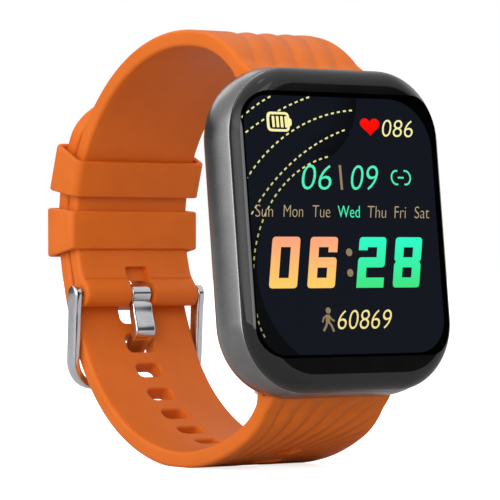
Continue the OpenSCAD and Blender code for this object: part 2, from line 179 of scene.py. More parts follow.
def surface(name, light, dark, patch=0.004, grain=0.0003, rough=(0.4, 0.5), bump=0.1, depth=0.00002,
            **sockets):
    """Principled material whose colour drifts between two tones in patches, with fine grained
    roughness and bump. patch and grain are sizes in metres."""
    m, tree, shader = new_material(name)
    link = tree.links.new
    place = node(tree, "TexCoord").outputs["Object"]
    drift = node(tree, "TexNoise", Scale=1 / patch, Detail=3.0)
    fine = node(tree, "TexNoise", Scale=1 / grain, Detail=2.0)
    link(place, drift.inputs["Vector"])
    link(place, fine.inputs["Vector"])
    ramp = tree.nodes.new("ShaderNodeValToRGB")
    ramp.color_ramp.elements[0].position, ramp.color_ramp.elements[1].position = 0.35, 0.65
    ramp.color_ramp.elements[0].color = linear(*dark)
    ramp.color_ramp.elements[1].color = linear(*light)
    link(drift.outputs["Fac"], ramp.inputs["Fac"])
    link(ramp.outputs["Color"], shader.inputs["Base Color"])
    spread = node(tree, "MapRange", From_Min=0.3, From_Max=0.7, To_Min=rough[0], To_Max=rough[1])
    link(fine.outputs["Fac"], spread.inputs["Value"])
    link(spread.outputs["Result"], shader.inputs["Roughness"])
    relief = node(tree, "Bump", Strength=bump, Distance=depth)
    link(fine.outputs["Fac"], relief.inputs["Height"])
    link(relief.outputs["Normal"], shader.inputs["Normal"])
    for key, value in sockets.items():
        shader.inputs[key.replace("_", " ")].default_value = value
    return m


def glow(name, top, bottom, z_top, z_bottom):
    """Lit pixels of the display, from one colour at a height on the face to another below it."""
    m, tree, shader = new_material(name)
    link = tree.links.new
    up = tree.nodes.new("ShaderNodeVectorMath")
    up.operation = "DOT_PRODUCT"
    link(node(tree, "TexCoord").outputs["Object"], up.inputs[0])
    up.inputs[1].default_value = (0, math.sin(LEAN), math.cos(LEAN))
    low, high = (in_case(0, 0, z).dot(up.inputs[1].default_value) for z in (z_bottom, z_top))
    span = node(tree, "MapRange", From_Min=low, From_Max=high)
    link(up.outputs["Value"], span.inputs["Value"])
    ramp = tree.nodes.new("ShaderNodeValToRGB")
    ramp.color_ramp.elements[0].color = linear(*bottom)
    ramp.color_ramp.elements[1].color = linear(*top)
    link(span.outputs["Result"], ramp.inputs["Fac"])
    link(ramp.outputs["Color"], shader.inputs["Emission Color"])
    shader.inputs["Emission Strength"].default_value = 1.0
    shader.inputs["Base Color"].default_value = (0, 0, 0, 1)
    shader.inputs["Roughness"].default_value = 0.6
    shader.inputs["Specular IOR Level"].default_value = 0.0
    return m


SILICONE = surface("orange_silicone", (226, 113, 32), (220, 109, 29), patch=0.006, grain=0.00025,
                   rough=(0.44, 0.54), bump=0.08, IOR=1.41, Specular_IOR_Level=0.3, Subsurface_Weight=0.15,
                   Subsurface_Radius=(1.0, 0.35, 0.1), Subsurface_Scale=0.0012)
GUNMETAL = surface("gunmetal", (138, 138, 138), (131, 131, 131), patch=0.003, grain=0.00012,
                   rough=(0.22, 0.3), bump=0.08, Metallic=1.0)
STEEL = surface("polished_steel", (225, 226, 230), (214, 215, 220), patch=0.002, grain=0.0004,
                rough=(0.07, 0.12), bump=0.02, Metallic=1.0)
SPRING = surface("spring_steel", (170, 172, 176), (150, 152, 156), rough=(0.25, 0.35), Metallic=1.0)
RUBBER = surface("black_rubber", (26, 26, 28), (18, 18, 20), rough=(0.6, 0.75))
PRINT = surface("black_print", (5, 5, 6), (2, 2, 3), rough=(0.5, 0.6), bump=0.0, Specular_IOR_Level=0.0)
PLASTIC = surface("inner_plastic", (60, 60, 64), (50, 50, 54), rough=(0.45, 0.6))
BACK = surface("back_plastic", (30, 31, 34), (24, 25, 28), patch=0.003, rough=(0.32, 0.42), bump=0.15)
BOARD = surface("circuit_board", (20, 92, 54), (10, 62, 36), patch=0.0008, rough=(0.35, 0.5), bump=0.3)
FOIL = surface("battery_foil", (176, 178, 184), (150, 152, 160), patch=0.002, rough=(0.3, 0.45),
               Metallic=1.0)
CERAMIC = surface("antenna_ceramic", (206, 190, 160), (190, 172, 140), rough=(0.4, 0.55))
LEDS = surface("led_green", (120, 235, 150), (90, 205, 125), patch=0.0006, rough=(0.15, 0.3))
GOLD = surface("pin_gold", (235, 190, 95), (220, 172, 78), patch=0.0006, rough=(0.12, 0.22), Metallic=1.0)
SENSOR = surface("sensor_glass", (12, 16, 24), (6, 8, 14), patch=0.003, rough=(0.03, 0.06), bump=0.0,
                 Coat_Weight=1.0, Coat_Roughness=0.02)

BY_SLOT = {
    "case_metal": GUNMETAL, "black_rubber": RUBBER, "display": PRINT, "inner_plastic": PLASTIC,
    "circuit_board": BOARD, "battery_foil": FOIL, "bright_steel": STEEL, "spring_steel": SPRING,
    "antenna_ceramic": CERAMIC, "led_green": LEDS, "back_plastic": BACK, "sensor_glass": SENSOR,
    "pin_gold": GOLD, "strap_silicone": SILICONE, "buckle_steel": STEEL, "cover_glass": PRINT,
}
for part in frame["record"]["subparts"]:
    solid = frame["nodes"][part["node"]]
    solid.data.materials.clear()
    solid.data.materials.append(BY_SLOT[part["material_slot"]])


# ---- Mesh helpers ----

def make_object(name, mesh, material, smooth=40):
    obj = bpy.data.objects.new(name, mesh)
    bpy.context.scene.collection.objects.link(obj)
    mesh.materials.clear()
    mesh.materials.append(material)
    mesh.shade_smooth()
    mesh.set_sharp_from_angle(angle=math.radians(smooth))
    return obj


def solid_mesh(name, points, faces):
    """Closed mesh with its faces turned outwards."""
    mesh = bpy.data.meshes.new(name)
    mesh.from_pydata(points, [], faces)
    bm = bmesh.new()
    bm.from_mesh(mesh)
    bmesh.ops.remove_doubles(bm, verts=bm.verts, dist=1e-7)
    bmesh.ops.dissolve_degenerate(bm, edges=bm.edges, dist=1e-8)
    bmesh.ops.recalc_face_normals(bm, faces=bm.faces)
    bm.to_mesh(mesh)
    bm.free()
    return mesh


def skin(name, rings, loop=False):
    """Closed mesh over rings of equal length. It has flat ends, or joins the last ring to the first."""
    n, points, faces = len(rings[0]), [p for ring in rings for p in ring], []
    for k in range(len(rings) if loop else len(rings) - 1):
        a, b = k * n, (k + 1) % len(rings) * n
        faces += [(a + i, a + (i + 1) % n, b + (i + 1) % n, b + i) for i in range(n)]
    if not loop:
        faces += [tuple(range(n))[::-1], tuple(range(len(points) - n, len(points)))]
    return solid_mesh(name, points, faces)


def joined(name, meshes):
    bm = bmesh.new()
    for mesh in meshes:
        bm.from_mesh(mesh)
        bpy.data.meshes.remove(mesh)
    out = bpy.data.meshes.new(name)
    bm.to_mesh(out)
    bm.free()
    return out


def cut(mesh, tools, operation="DIFFERENCE"):
    """The mesh with the closed meshes in `tools` taken away, or joined on."""
    scene = bpy.context.scene
    work = bpy.data.objects.new("cut_work", mesh)
    tool = bpy.data.objects.new("cut_tool", joined("cut_tool", tools))
    scene.collection.objects.link(work)
    scene.collection.objects.link(tool)
    modifier = work.modifiers.new("cut", "BOOLEAN")
    modifier.operation, modifier.solver, modifier.object = operation, "MANIFOLD", tool
    out = bpy.data.meshes.new_from_object(work.evaluated_get(bpy.context.evaluated_depsgraph_get()))
    for obj in (work, tool):
        data = obj.data
        bpy.data.objects.remove(obj)
        bpy.data.meshes.remove(data)
    return out


def finish_piece(obj, body, slot, *nodes):
    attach(obj, body)
    if nodes:
        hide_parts(*nodes)
    return obj


def round_rect(hw, hh, r, steps=10):
    """Outline of a rounded rectangle, as points (u, v) in order."""
    out = []
    for k, (su, sv) in enumerate(((1, 1), (-1, 1), (-1, -1), (1, -1))):
        for i in range(steps + 1):
            a = math.radians(90 * (k + i / steps))
            out.append((su * (hw - r) + r * math.cos(a), sv * (hh - r) + r * math.sin(a)))
    return out


def ease(t):
    t = min(1.0, max(0.0, t))
    return t * t * (3 - 2 * t)


def rod(name, r, x0, x1, centre, steps=24):
    """Cylinder across the watch about a point (y, z)."""
    ring = [(r * math.cos(math.tau * i / steps), r * math.sin(math.tau * i / steps)) for i in range(steps)]
    return skin(name, [[row(x, centre[0] + y, centre[1] + z) for y, z in ring] for x in (x0, x1)])


# ---- Case ----

def case_ring(inset, depth, size=None):
    hw, hh, r = size or (HALF_W - inset, HALF_H - inset, CORNER - inset)
    return [in_case(x, depth, z) for x, z in round_rect(hw, hh, r, 16)]


def lug_cutter(side):
    outline = [(6.35, 27), (6.35, BAR_REACH)]
    outline += [(BAR_DEPTH - NOTCH_R * math.cos(a), BAR_REACH - NOTCH_R * math.sin(a))
                for a in (math.radians(9 * k) for k in range(1, 11))]
    outline += [(14, BAR_REACH - NOTCH_R), (14, 27)]
    return skin("lug", [[in_case(x, d, side * z) for d, z in outline] for x in (-NOTCH_HALF, NOTCH_HALF)])


def stadium(length, width, grow=0.0, steps=12):
    return round_rect(width / 2 + grow, length / 2 + grow, width / 2 + grow - 1e-4, steps)


def button_rings(levels):
    """Rings of the side button, from (x, growth) pairs."""
    return [[in_case(x, BUTTON["depth"] + d, BUTTON["z"] + z)
             for d, z in stadium(BUTTON["length"], BUTTON["width"], grow)] for x, grow in levels]


SEAM_R, CROWN = 0.28, 0.42


def case_shell():
    front, widest, back = SEAM + SEAM_R, 6.3, 3.2
    rings = [case_ring(CROWN + SEAM_R * (1 - math.sin(a)), SEAM + SEAM_R * (1 - math.cos(a)))
             for a in (math.radians(18 * k) for k in range(5))]
    rings += [case_ring(CROWN * (1 - k / 8) ** 2, front + (widest - front) * k / 8) for k in range(1, 9)]
    rings += [case_ring(back * (1 - math.cos(a)), widest + (CASE_D - widest) * math.sin(a))
              for a in (math.radians(6 * k) for k in range(1, 16))]
    room = [case_ring(RIM, 0), case_ring(RIM, TRAY_FLOOR), case_ring(0, TRAY_FLOOR, CAVITY),
            case_ring(0, CAVITY_BACK, CAVITY), case_ring(0, CAVITY_BACK, COVER), case_ring(0, 14, COVER)]
    shell = cut(skin("case_shell", rings), [skin("room", room)])
    shell = cut(shell, [lug_cutter(1), lug_cutter(-1),
                        skin("pocket", button_rings([(HALF_W - BUTTON["cap"], 0.12), (HALF_W + 2, 0.12)]))])
    reach = TIP_END + 0.2
    shell = cut(shell, [rod("tip_hole", TIP_HOLE_R, -reach, reach, case_yz(BAR_DEPTH, side * BAR_REACH))
                        for side in (1, -1)])
    return make_object("case_shell", shell, GUNMETAL, 32)


finish_piece(case_shell(), "watch", "case_metal", "case_body")


def button_cap():
    face = HALF_W + BUTTON["out"]
    levels = [(face - BUTTON["cap"], 0), (face - 0.35, 0)]
    levels += [(face - 0.35 * (1 - math.sin(a)), -0.35 * (1 - math.cos(a)))
               for a in (math.radians(15 * k) for k in range(1, 7))]
    cap = skin("cap", button_rings(levels))
    stem = rod("stem", 0.9, CAVITY[0] - 0.8, face - BUTTON["cap"] + 0.1,
               case_yz(BUTTON["depth"], BUTTON["z"]))
    return make_object("button_cap", joined("button_cap", [cap, stem]), GUNMETAL, 50)


finish_piece(button_cap(), "side_button", "case_metal", "side_button")


# ---- Glass and its black print ----

def lens_ring(inset, depth):
    return case_ring(GLASS_INSET + inset, depth)


WINDOW = dict(left=-17.05, right=16.75, top=18.95, bottom=-17.95, top_left_r=4.5, top_r=7.5, bottom_r=5.0)
WINDOW_GROW = 0.5
PRINT_DEPTH = 1.0


def printed_glass(name):
    """Glass with a glossy black border, and clear over the window of the display."""
    m = surface(name, (6, 6, 7), (2, 2, 3), rough=(0.03, 0.05), bump=0.0, IOR=1.54)
    tree = m.node_tree
    link = tree.links.new
    w, r = WINDOW, 4.5
    middle = ((w["left"] + w["right"]) / 2, (w["top"] + w["bottom"]) / 2)
    half = ((w["right"] - w["left"]) / 2 + WINDOW_GROW - r, (w["top"] - w["bottom"]) / 2 + WINDOW_GROW - r)

    def vector(operation, first, second=None):
        n = tree.nodes.new("ShaderNodeVectorMath")
        n.operation = operation
        link(first, n.inputs[0])
        if second is not None:
            n.inputs[1].default_value = second
        return n.outputs["Value" if operation in ("DOT_PRODUCT", "LENGTH") else "Vector"]

    place = vector("SUBTRACT", node(tree, "TexCoord").outputs["Object"], in_case(middle[0], 0, middle[1]))
    flat = node(tree, "CombineXYZ")
    link(vector("DOT_PRODUCT", place, (1, 0, 0)), flat.inputs["X"])
    link(vector("DOT_PRODUCT", place, (0, math.sin(LEAN), math.cos(LEAN))), flat.inputs["Y"])
    beyond = vector("SUBTRACT", vector("ABSOLUTE", flat.outputs["Vector"]), (half[0] * MM, half[1] * MM, 0))
    away = vector("LENGTH", vector("MAXIMUM", beyond, (0, 0, 0)))
    border = tree.nodes.new("ShaderNodeMath")
    border.operation = "GREATER_THAN"
    link(away, border.inputs[0])
    border.inputs[1].default_value = r * MM
    mix = tree.nodes.new("ShaderNodeMixShader")
    link(border.outputs["Value"], mix.inputs["Fac"])
    link(node(tree, "BsdfTransparent").outputs["BSDF"], mix.inputs[1])
    link(tree.nodes["Principled BSDF"].outputs["BSDF"], mix.inputs[2])
    link(mix.outputs["Shader"], tree.nodes["Material Output"].inputs["Surface"])
    return m


def cover_lens():
    rings = [lens_ring(0.12, GLASS_EDGE), lens_ring(0, GLASS_EDGE - 0.12)]
    rings += [lens_ring(GLASS_EDGE * (1 - math.cos(a)), GLASS_EDGE * (1 - math.sin(a)))
              for a in (math.radians(6 * k) for k in range(1, 16))]
    return make_object("cover_lens", skin("cover_lens", rings), printed_glass("cover_glass_clear"), 60)


def window_outline(steps=16, grow=0.0):
    w, out = WINDOW, []
    corners = ((w["right"], w["top"], w["top_r"]), (w["left"], w["top"], w["top_left_r"]),
               (w["left"], w["bottom"], w["bottom_r"]), (w["right"], w["bottom"], w["bottom_r"]))
    for k, (x, z, r) in enumerate(corners):
        su, sv = (1 if k in (0, 3) else -1), (1 if k < 2 else -1)
        for i in range(steps + 1):
            a = math.radians(90 * (k + i / steps))
            out.append((x - su * r + (r + grow) * math.cos(a), z - sv * r + (r + grow) * math.sin(a)))
    return out


def glass_print():
    under = 0.06
    reach = GLASS_EDGE - under
    steps = [math.radians(a) for a in range(0, 40, 4)]
    rings = [lens_ring(under + 1.2, GLASS_EDGE - 0.02)]
    for a in steps:
        rings.append(lens_ring(GLASS_EDGE - reach * math.cos(a), GLASS_EDGE - 0.02 - reach * math.sin(a)))
    rings.append([in_case(x, PRINT_DEPTH, z) for x, z in window_outline()])
    rings.append([in_case(x, PRINT_DEPTH + 0.1, z) for x, z in window_outline()])
    return make_object("glass_print", skin("glass_print", rings, loop=True), PRINT, 40)


finish_piece(cover_lens(), "watch", "cover_glass", "cover_glass")
finish_piece(glass_print(), "watch", "display")


# ---- Dial ----

def flat_shape(curve, thick):
    """Points (u, v, thickness) and faces of a filled flat curve."""
    curve.extrude = thick / 2
    obj = bpy.data.objects.new("flat", curve)
    bpy.context.scene.collection.objects.link(obj)
    mesh = bpy.data.meshes.new_from_object(obj.evaluated_get(bpy.context.evaluated_depsgraph_get()))
    points = [tuple(v.co) for v in mesh.vertices]
    faces = [tuple(p.vertices) for p in mesh.polygons]
    bpy.data.objects.remove(obj)
    bpy.data.curves.remove(curve)
    bpy.data.meshes.remove(mesh)
    return points, faces


INK = 0.012


def filled(*loops):
    curve = bpy.data.curves.new("loops", "CURVE")
    curve.dimensions, curve.fill_mode = "2D", "BOTH"
    for loop in loops:
        spline = curve.splines.new("POLY")
        spline.points.add(len(loop) - 1)
        for point, (u, v) in zip(spline.points, loop):
            point.co = (u, v, 0, 1)
        spline.use_cyclic_u = True
    return flat_shape(curve, INK)


def lettering(text, x0, x1, z0, z1, slant=0.0, bold=0.0):
    """Text that fills a box of the face."""
    curve = bpy.data.curves.new("text", "FONT")
    curve.body, curve.size, curve.shear = text, 1.0, slant
    curve.offset, curve.resolution_u = bold, 4
    points, faces = flat_shape(curve, INK)
    lo = [min(p[i] for p in points) for i in (0, 1)]
    hi = [max(p[i] for p in points) for i in (0, 1)]
    return [(x0 + (p[0] - lo[0]) / (hi[0] - lo[0]) * (x1 - x0),
             z0 + (p[1] - lo[1]) / (hi[1] - lo[1]) * (z1 - z0), p[2]) for p in points], faces


def dial_layer(name, shapes, material, depth):
    points, faces = [], []
    for shape_points, shape_faces in shapes:
        faces += [tuple(i + len(points) for i in f) for f in shape_faces]
        points += [in_case(u, depth - t, v) for u, v, t in shape_points]
    mesh = bpy.data.meshes.new(name)
    mesh.from_pydata(points, [], faces)
    mesh.update()
    obj = make_object(name, mesh, material, 30)
    return finish_piece(obj, "watch", "display")


def circle(x, z, r, steps=20):
    return [(x + r * math.cos(math.tau * i / steps), z + r * math.sin(math.tau * i / steps))
            for i in range(steps)]


def rounded(loop, radii, steps=4):
    """Polygon with its corners rounded to the radii given, 0 for a sharp one."""
    out = []
    for i, (p, r) in enumerate(zip(loop, radii)):
        p = Vector(p)
        a, b = Vector(loop[i - 1]) - p, Vector(loop[(i + 1) % len(loop)]) - p
        if r == 0:
            out.append(tuple(p))
            continue
        a, b = p + a.normalized() * r, p + b.normalized() * r
        for k in range(steps + 1):
            t = k / steps
            out.append(tuple(a * (1 - t) ** 2 + p * 2 * t * (1 - t) + b * t * t))
    return out


def strip(points, width):
    """Outline of a stroke along open points."""
    left, right = [], []
    for i, p in enumerate(points):
        a = Vector(points[max(i - 1, 0)])
        b = Vector(points[min(i + 1, len(points) - 1)])
        side = (b - a).normalized() * width / 2
        left.append((p[0] - side.y, p[1] + side.x))
        right.append((p[0] + side.y, p[1] - side.x))
    return left + right[::-1]


DIGIT = dict(w=4.93, h=7.3, top=-1.2, slant=0.178, stroke=1.6, bar=1.46, r=0.6)


def digit(x, loops):
    """Block digit from loops of (u, v, corner radius), u and v from its top left corner."""
    d, out = DIGIT, []
    for loop in loops:
        bent = rounded([(u, v) for u, v, r in loop], [r for u, v, r in loop])
        out.append([(x + u + d["slant"] * v, d["top"] + v) for u, v in bent])
    return filled(*out)


def hole(v0, v1, inset=0.0):
    d = DIGIT
    left, right = d["stroke"] + inset, d["w"] - d["stroke"] + inset
    return [(left, v0, 0), (right, v0, 0), (right, v1, 0), (left, v1, 0)]


W, H, S, B, R = (DIGIT[k] for k in ("w", "h", "stroke", "bar", "r"))
STUB, WAIST = 0.3 * H, 0.4 * H
ZERO = [[(0, 0, R), (W, 0, R), (W, -H, R), (0, -H, R)], hole(-B, B - H)]
SIX = [[(0, 0, R), (W, 0, R), (W, -STUB, 0), (W - S, -STUB, 0), (W - S, -B, 0), (S, -B, 0),
        (S, -WAIST, 0), (W, -WAIST, R), (W, -H, R), (0, -H, R)], hole(-WAIST - B, B - H)]
TWO = [[(0, 0, R), (W, 0, R), (W, -WAIST - B, R), (S, -WAIST - B, 0), (S, B - H, 0), (W, B - H, 0),
        (W, -H, 0), (0, -H, 0), (0, -WAIST, R), (W - S, -WAIST, 0), (W - S, -B, 0), (S, -B, 0),
        (S, -0.26 * H, 0), (0, -0.26 * H, 0)]]
EIGHT = [[(0, 0, R), (W, 0, R), (W, -0.45 * H, 0.3), (W - 0.35, -0.49 * H, 0.2), (W, -0.53 * H, 0.3),
          (W, -H, R), (0, -H, R), (0, -0.53 * H, 0.3), (0.35, -0.49 * H, 0.2), (0, -0.45 * H, 0.3)],
         hole(-B, -WAIST), hole(-WAIST - B, B - H)]

dial_layer("dial_hours", [digit(-13.35, ZERO), digit(-6.62, SIX)],
           glow("peach_pixels", (255, 168, 128), (255, 208, 104), -1.6, -8.2), 1.06)
dial_layer("dial_minutes", [digit(2.2, TWO), digit(8.85, EIGHT)],
           glow("mint_pixels", (48, 252, 200), (66, 232, 130), -1.6, -8.2), 1.06)

MINT = glow("green_pixels", (84, 246, 190), (76, 240, 180), 9, 2)
dial_layer("dial_date", [
    lettering("06", -7.55, -2.2, 5.55, 9.15, 0.24, -0.012),
    lettering("09", 1.3, 6.4, 5.6, 9.2, 0.24, -0.012),
    lettering("Wed", -1.4, 2.6, 1.6, 3.3, 0.1, -0.004),
    filled(strip([(9.75 - 0.92 * math.cos(a), 7.5 + 1.0 * math.sin(a))
                  for a in (math.radians(15 * k) for k in range(-7, 8))], 0.26)),
    filled(strip([(11.4 + 0.92 * math.cos(a), 7.5 + 1.0 * math.sin(a))
                  for a in (math.radians(15 * k) for k in range(-7, 8))], 0.26)),
    filled([(10.0, 7.38), (11.1, 7.38), (11.1, 7.62), (10.0, 7.62)])], MINT, 1.06)

TAN = glow("tan_pixels", (190, 168, 134), (176, 154, 120), 9, -14)
days = (("Sun", -16.1, -13.0), ("Mon", -11.2, -7.7), ("Tue", -5.9, -2.85), ("Thu", 4.05, 7.4),
        ("Fri", 8.85, 11.1), ("Sat", 12.6, 15.4))
dial_layer("dial_days", [lettering(day, x0, x1, 1.6, 3.3, 0.16, -0.016) for day, x0, x1 in days],
           TAN, 1.06)
BRONZE = glow("bronze_pixels", (150, 130, 102), (142, 124, 92), 9, -14)
walker = [filled(circle(-4.45, -11.7, 0.45)),
          filled(strip([(-4.55, -12.3), (-4.65, -13.4)], 0.75)),
          filled(strip([(-4.7, -13.2), (-5.05, -14.0), (-5.5, -14.6)], 0.36)),
          filled(strip([(-4.6, -13.2), (-4.05, -13.8), (-3.65, -14.7)], 0.36)),
          filled(strip([(-4.7, -12.35), (-5.35, -12.75), (-5.6, -13.35)], 0.28)),
          filled(strip([(-4.45, -12.35), (-3.95, -12.95), (-3.45, -13.2)], 0.28))]
dial_layer("dial_marks", walker + [
    filled([(-0.72, 9.15), (-0.3, 9.15), (-0.22, 5.6), (-0.64, 5.6)]),
    filled(circle(0.06, -3.4, 0.56)), filled(circle(0.0, -6.35, 0.56))], BRONZE, 1.05)

PALE = glow("pale_pixels", (253, 246, 176), (250, 232, 150), 18, -14)
cell = [filled(rounded([(-10.85 + 0.75 * k - 1.25, 15.95), (-10.4 + 0.75 * k - 1.25, 15.95),
                        (-10.35 + 0.75 * k - 1.25, 14.35), (-10.8 + 0.75 * k - 1.25, 14.35)],
                       (0.08,) * 4)) for k in range(4)]
battery = filled(rounded([(-13.0, 16.55), (-9.0, 16.55), (-9.0, 13.75), (-13.0, 13.75)], (0.8,) * 4),
                 rounded([(-12.55, 16.2), (-9.35, 16.2), (-9.35, 14.1), (-12.55, 14.1)], (0.5,) * 4))
nub = filled(rounded([(-9.0, 15.75), (-8.62, 15.5), (-8.62, 14.75), (-9.0, 14.5)], (0, 0.15, 0.15, 0)))
dial_layer("dial_counts", cell + [
    battery, nub, lettering("086", 7.7, 13.4, 13.45, 15.95, 0.2, -0.012),
    lettering("60869", -2.9, 7.05, -14.4, -11.65, 0.25, -0.012)], PALE, 1.06)


def heart(x, z, w, h):
    out = []
    for k in range(40):
        t = math.tau * k / 40
        u = 16 * math.sin(t) ** 3
        v = 13 * math.cos(t) - 5 * math.cos(2 * t) - 2 * math.cos(3 * t) - math.cos(4 * t)
        out.append((x + u / 32 * w, z + (v + 2.5) / 29 * h))
    return out


dial_layer("dial_heart", [filled(heart(5.5, 14.75, 3.6, 2.6))],
           glow("red_pixels", (255, 20, 10), (250, 0, 0), 16, 13), 1.06)


def dashes(a, b, c, pitch=1.12, length=0.55, width=0.24):
    """Dashes along the circle through three points, from a to c."""
    (ax, ay), (bx, by), (cx, cy) = a, b, c
    d = 2 * (ax * (by - cy) + bx * (cy - ay) + cx * (ay - by))
    a2, b2, c2 = ax ** 2 + ay ** 2, bx ** 2 + by ** 2, cx ** 2 + cy ** 2
    ux = (a2 * (by - cy) + b2 * (cy - ay) + c2 * (ay - by)) / d
    uy = (a2 * (cx - bx) + b2 * (ax - cx) + c2 * (bx - ax)) / d
    r = math.hypot(ax - ux, ay - uy)
    a0, a1 = math.atan2(ay - uy, ax - ux), math.atan2(cy - uy, cx - ux)
    if a1 < a0:
        a1 += math.tau
    out = []
    for k in range(int(r * (a1 - a0) / pitch) + 1):
        mid = a0 + (k + 0.4) * pitch / r
        turns = [mid + t * length / 2 / r for t in (-1, 0, 1)]
        out.append(filled(strip([(ux + r * math.cos(a), uy + r * math.sin(a)) for a in turns], width)))
    return out


arcs = dashes((-11.9, 18.8), (-14.3, 17.6), (-16.8, 16.0))
arcs += dashes((-5.0, 18.9), (-11.4, 16.45), (-17.1, 13.3))
arcs += dashes((2.6, 17.15), (-9.6, 13.35), (-17.05, 7.1))
arcs += dashes((1.0, 14.3), (-7.5, 10.4), (-17.1, 1.5))
arcs += dashes((-2.4, 10.35), (-13.4, 3.35), (-17.0, -5.2))
arcs += dashes((-17.0, -11.9), (-16.6, -13.9), (-15.7, -15.6), 1.0, 0.5, 0.22)
dial_layer("dial_arcs", arcs, glow("dash_pixels", (236, 232, 158), (150, 146, 96), 12, -8), 1.07)


def screen_material():
    """Navy ground that darkens towards the edge of the round field and left of it."""
    m, tree, shader = new_material("navy_pixels")
    link = tree.links.new
    place = node(tree, "TexCoord").outputs["Object"]

    def distance(x, z):
        d = tree.nodes.new("ShaderNodeVectorMath")
        d.operation = "DISTANCE"
        link(place, d.inputs[0])
        d.inputs[1].default_value = in_case(x, 1.09, z)
        return d.outputs["Value"]

    lobe = node(tree, "MapRange", From_Min=6.2 * MM, From_Max=10.35 * MM, To_Min=1.0, To_Max=0.05)
    link(distance(-7.1, 19.5), lobe.inputs["Value"])
    far_left = node(tree, "MapRange", From_Min=-6 * MM, From_Max=-1.5 * MM, To_Min=1.0, To_Max=0.0)
    past = node(tree, "MapRange", From_Min=10.4 * MM, From_Max=10.52 * MM)
    link(distance(-7.1, 19.5), past.inputs["Value"])
    field = node(tree, "MapRange", From_Min=14.0 * MM, From_Max=14.15 * MM, To_Min=1.0, To_Max=0.0)
    link(distance(-2.4, -6.0), field.inputs["Value"])
    high = node(tree, "MapRange", From_Min=(in_case(0, 0, -4)).z, From_Max=(in_case(0, 0, 3)).z)
    apart = tree.nodes.new("ShaderNodeSeparateXYZ")
    link(place, apart.inputs[0])
    link(apart.outputs["Z"], high.inputs["Value"])
    right = node(tree, "MapRange", From_Min=-6 * MM, From_Max=-5 * MM)
    link(apart.outputs["X"], right.inputs["Value"])

    def larger(a, b):
        n = tree.nodes.new("ShaderNodeMath")
        n.operation = "MAXIMUM"
        link(a, n.inputs[0])
        link(b, n.inputs[1])
        return n.outputs["Value"]

    def product(a, b):
        n = tree.nodes.new("ShaderNodeMath")
        n.operation = "MULTIPLY"
        link(a, n.inputs[0])
        link(b, n.inputs[1])
        return n.outputs["Value"]

    link(apart.outputs["X"], far_left.inputs["Value"])
    upper = larger(larger(lobe.outputs["Result"], past.outputs["Result"]), far_left.outputs["Result"])
    side = larger(larger(field.outputs["Result"], high.outputs["Result"]), right.outputs["Result"])
    ramp = tree.nodes.new("ShaderNodeValToRGB")
    ramp.color_ramp.elements[0].color = linear(3, 4, 7)
    ramp.color_ramp.elements[1].color = linear(14, 18, 27)
    link(product(upper, side), ramp.inputs["Fac"])
    link(ramp.outputs["Color"], shader.inputs["Emission Color"])
    shader.inputs["Emission Strength"].default_value = 1.0
    shader.inputs["Base Color"].default_value = (0, 0, 0, 1)
    shader.inputs["Roughness"].default_value = 0.04
    return m


dial_layer("dial_ground", [filled(window_outline(grow=0.1))], screen_material(), 1.085)


# ---- Straps ----

def half_width(y):
    """Half the strap's width at a distance y from the glass."""
    t = min(1.0, max(0.0, (y - TAPER_FROM) / (TAPER_TO - TAPER_FROM)))
    return (STRAP_W + (STRAP_END_W - STRAP_W) * t) / 2


def scallop(u):
    """Soft wave of height 1 with a sharp valley at each whole number."""
    u -= math.floor(u)
    return 4 * u * (1 - u)


RIB = 0.42


def upper_ribs(x, s):
    """Depth of the diagonal waves of the buckle strap below its outer face."""
    u = (x + 7.4 - 0.45 * (s - 4)) / 3.7
    if u < -0.5:
        u = -0.5
    fade = 1 - ease((s - 19) / 14)
    edge = ease((x + 9.4) / 1.8) * ease((10.4 - x) / 1.2)
    return RIB * (1 - scallop(u)) * fade * edge


def lower_ribs(x, s):
    u = ((x + 8.6) * math.exp(0.055 * (s - 1.1)) - 0.54) / 3.57
    fade = 1 - ease((s - 8) / 16)
    edge = ease((x + 9.0) / 1.2) * ease((10.4 - x) / 1.2)
    return RIB * (1 - scallop(u)) * fade * edge * ease((u + 0.6) / 0.6)


EDGE_R = 0.62
CREASE = 2.05


def strap_section(half, thick, steps=5, columns=84):
    """Outline across the strap, as (x, height above the middle)."""
    r = min(EDGE_R, thick * 0.98, half * 0.98)
    flat = half - r
    out = [(-flat + 2 * flat * i / columns, thick) for i in range(columns + 1)]
    out += [(flat + r * math.sin(a), thick - r + r * math.cos(a))
            for a in (math.radians(90 * k / steps) for k in range(1, steps + 1))]
    out += [(flat + r * math.cos(a), r - thick - r * math.sin(a))
            for a in (math.radians(90 * k / steps) for k in range(0, steps + 1))]
    out += [(flat - 2 * flat * i / (columns // 3), -thick) for i in range(1, columns // 3 + 1)]
    out += [(-flat - r * math.sin(a), r - thick - r * math.cos(a))
            for a in (math.radians(90 * k / steps) for k in range(1, steps + 1))]
    out += [(-flat - r * math.cos(a), thick - r + r * math.sin(a))
            for a in (math.radians(90 * k / steps) for k in range(0, steps))]
    return out


def thickness(s, length, rolls):
    """Half thickness at s: full at the rolls round the bars, thin between."""
    flat = STRAP_T / 2
    for from_roll in rolls(s, length):
        if from_roll < 0:
            return math.sqrt(max(ROLL_R ** 2 - from_roll ** 2, 0.0004))
        if from_roll < 3.2:
            return flat + (ROLL_R - flat) * (1 - ease(from_roll / 3.2))
    return flat


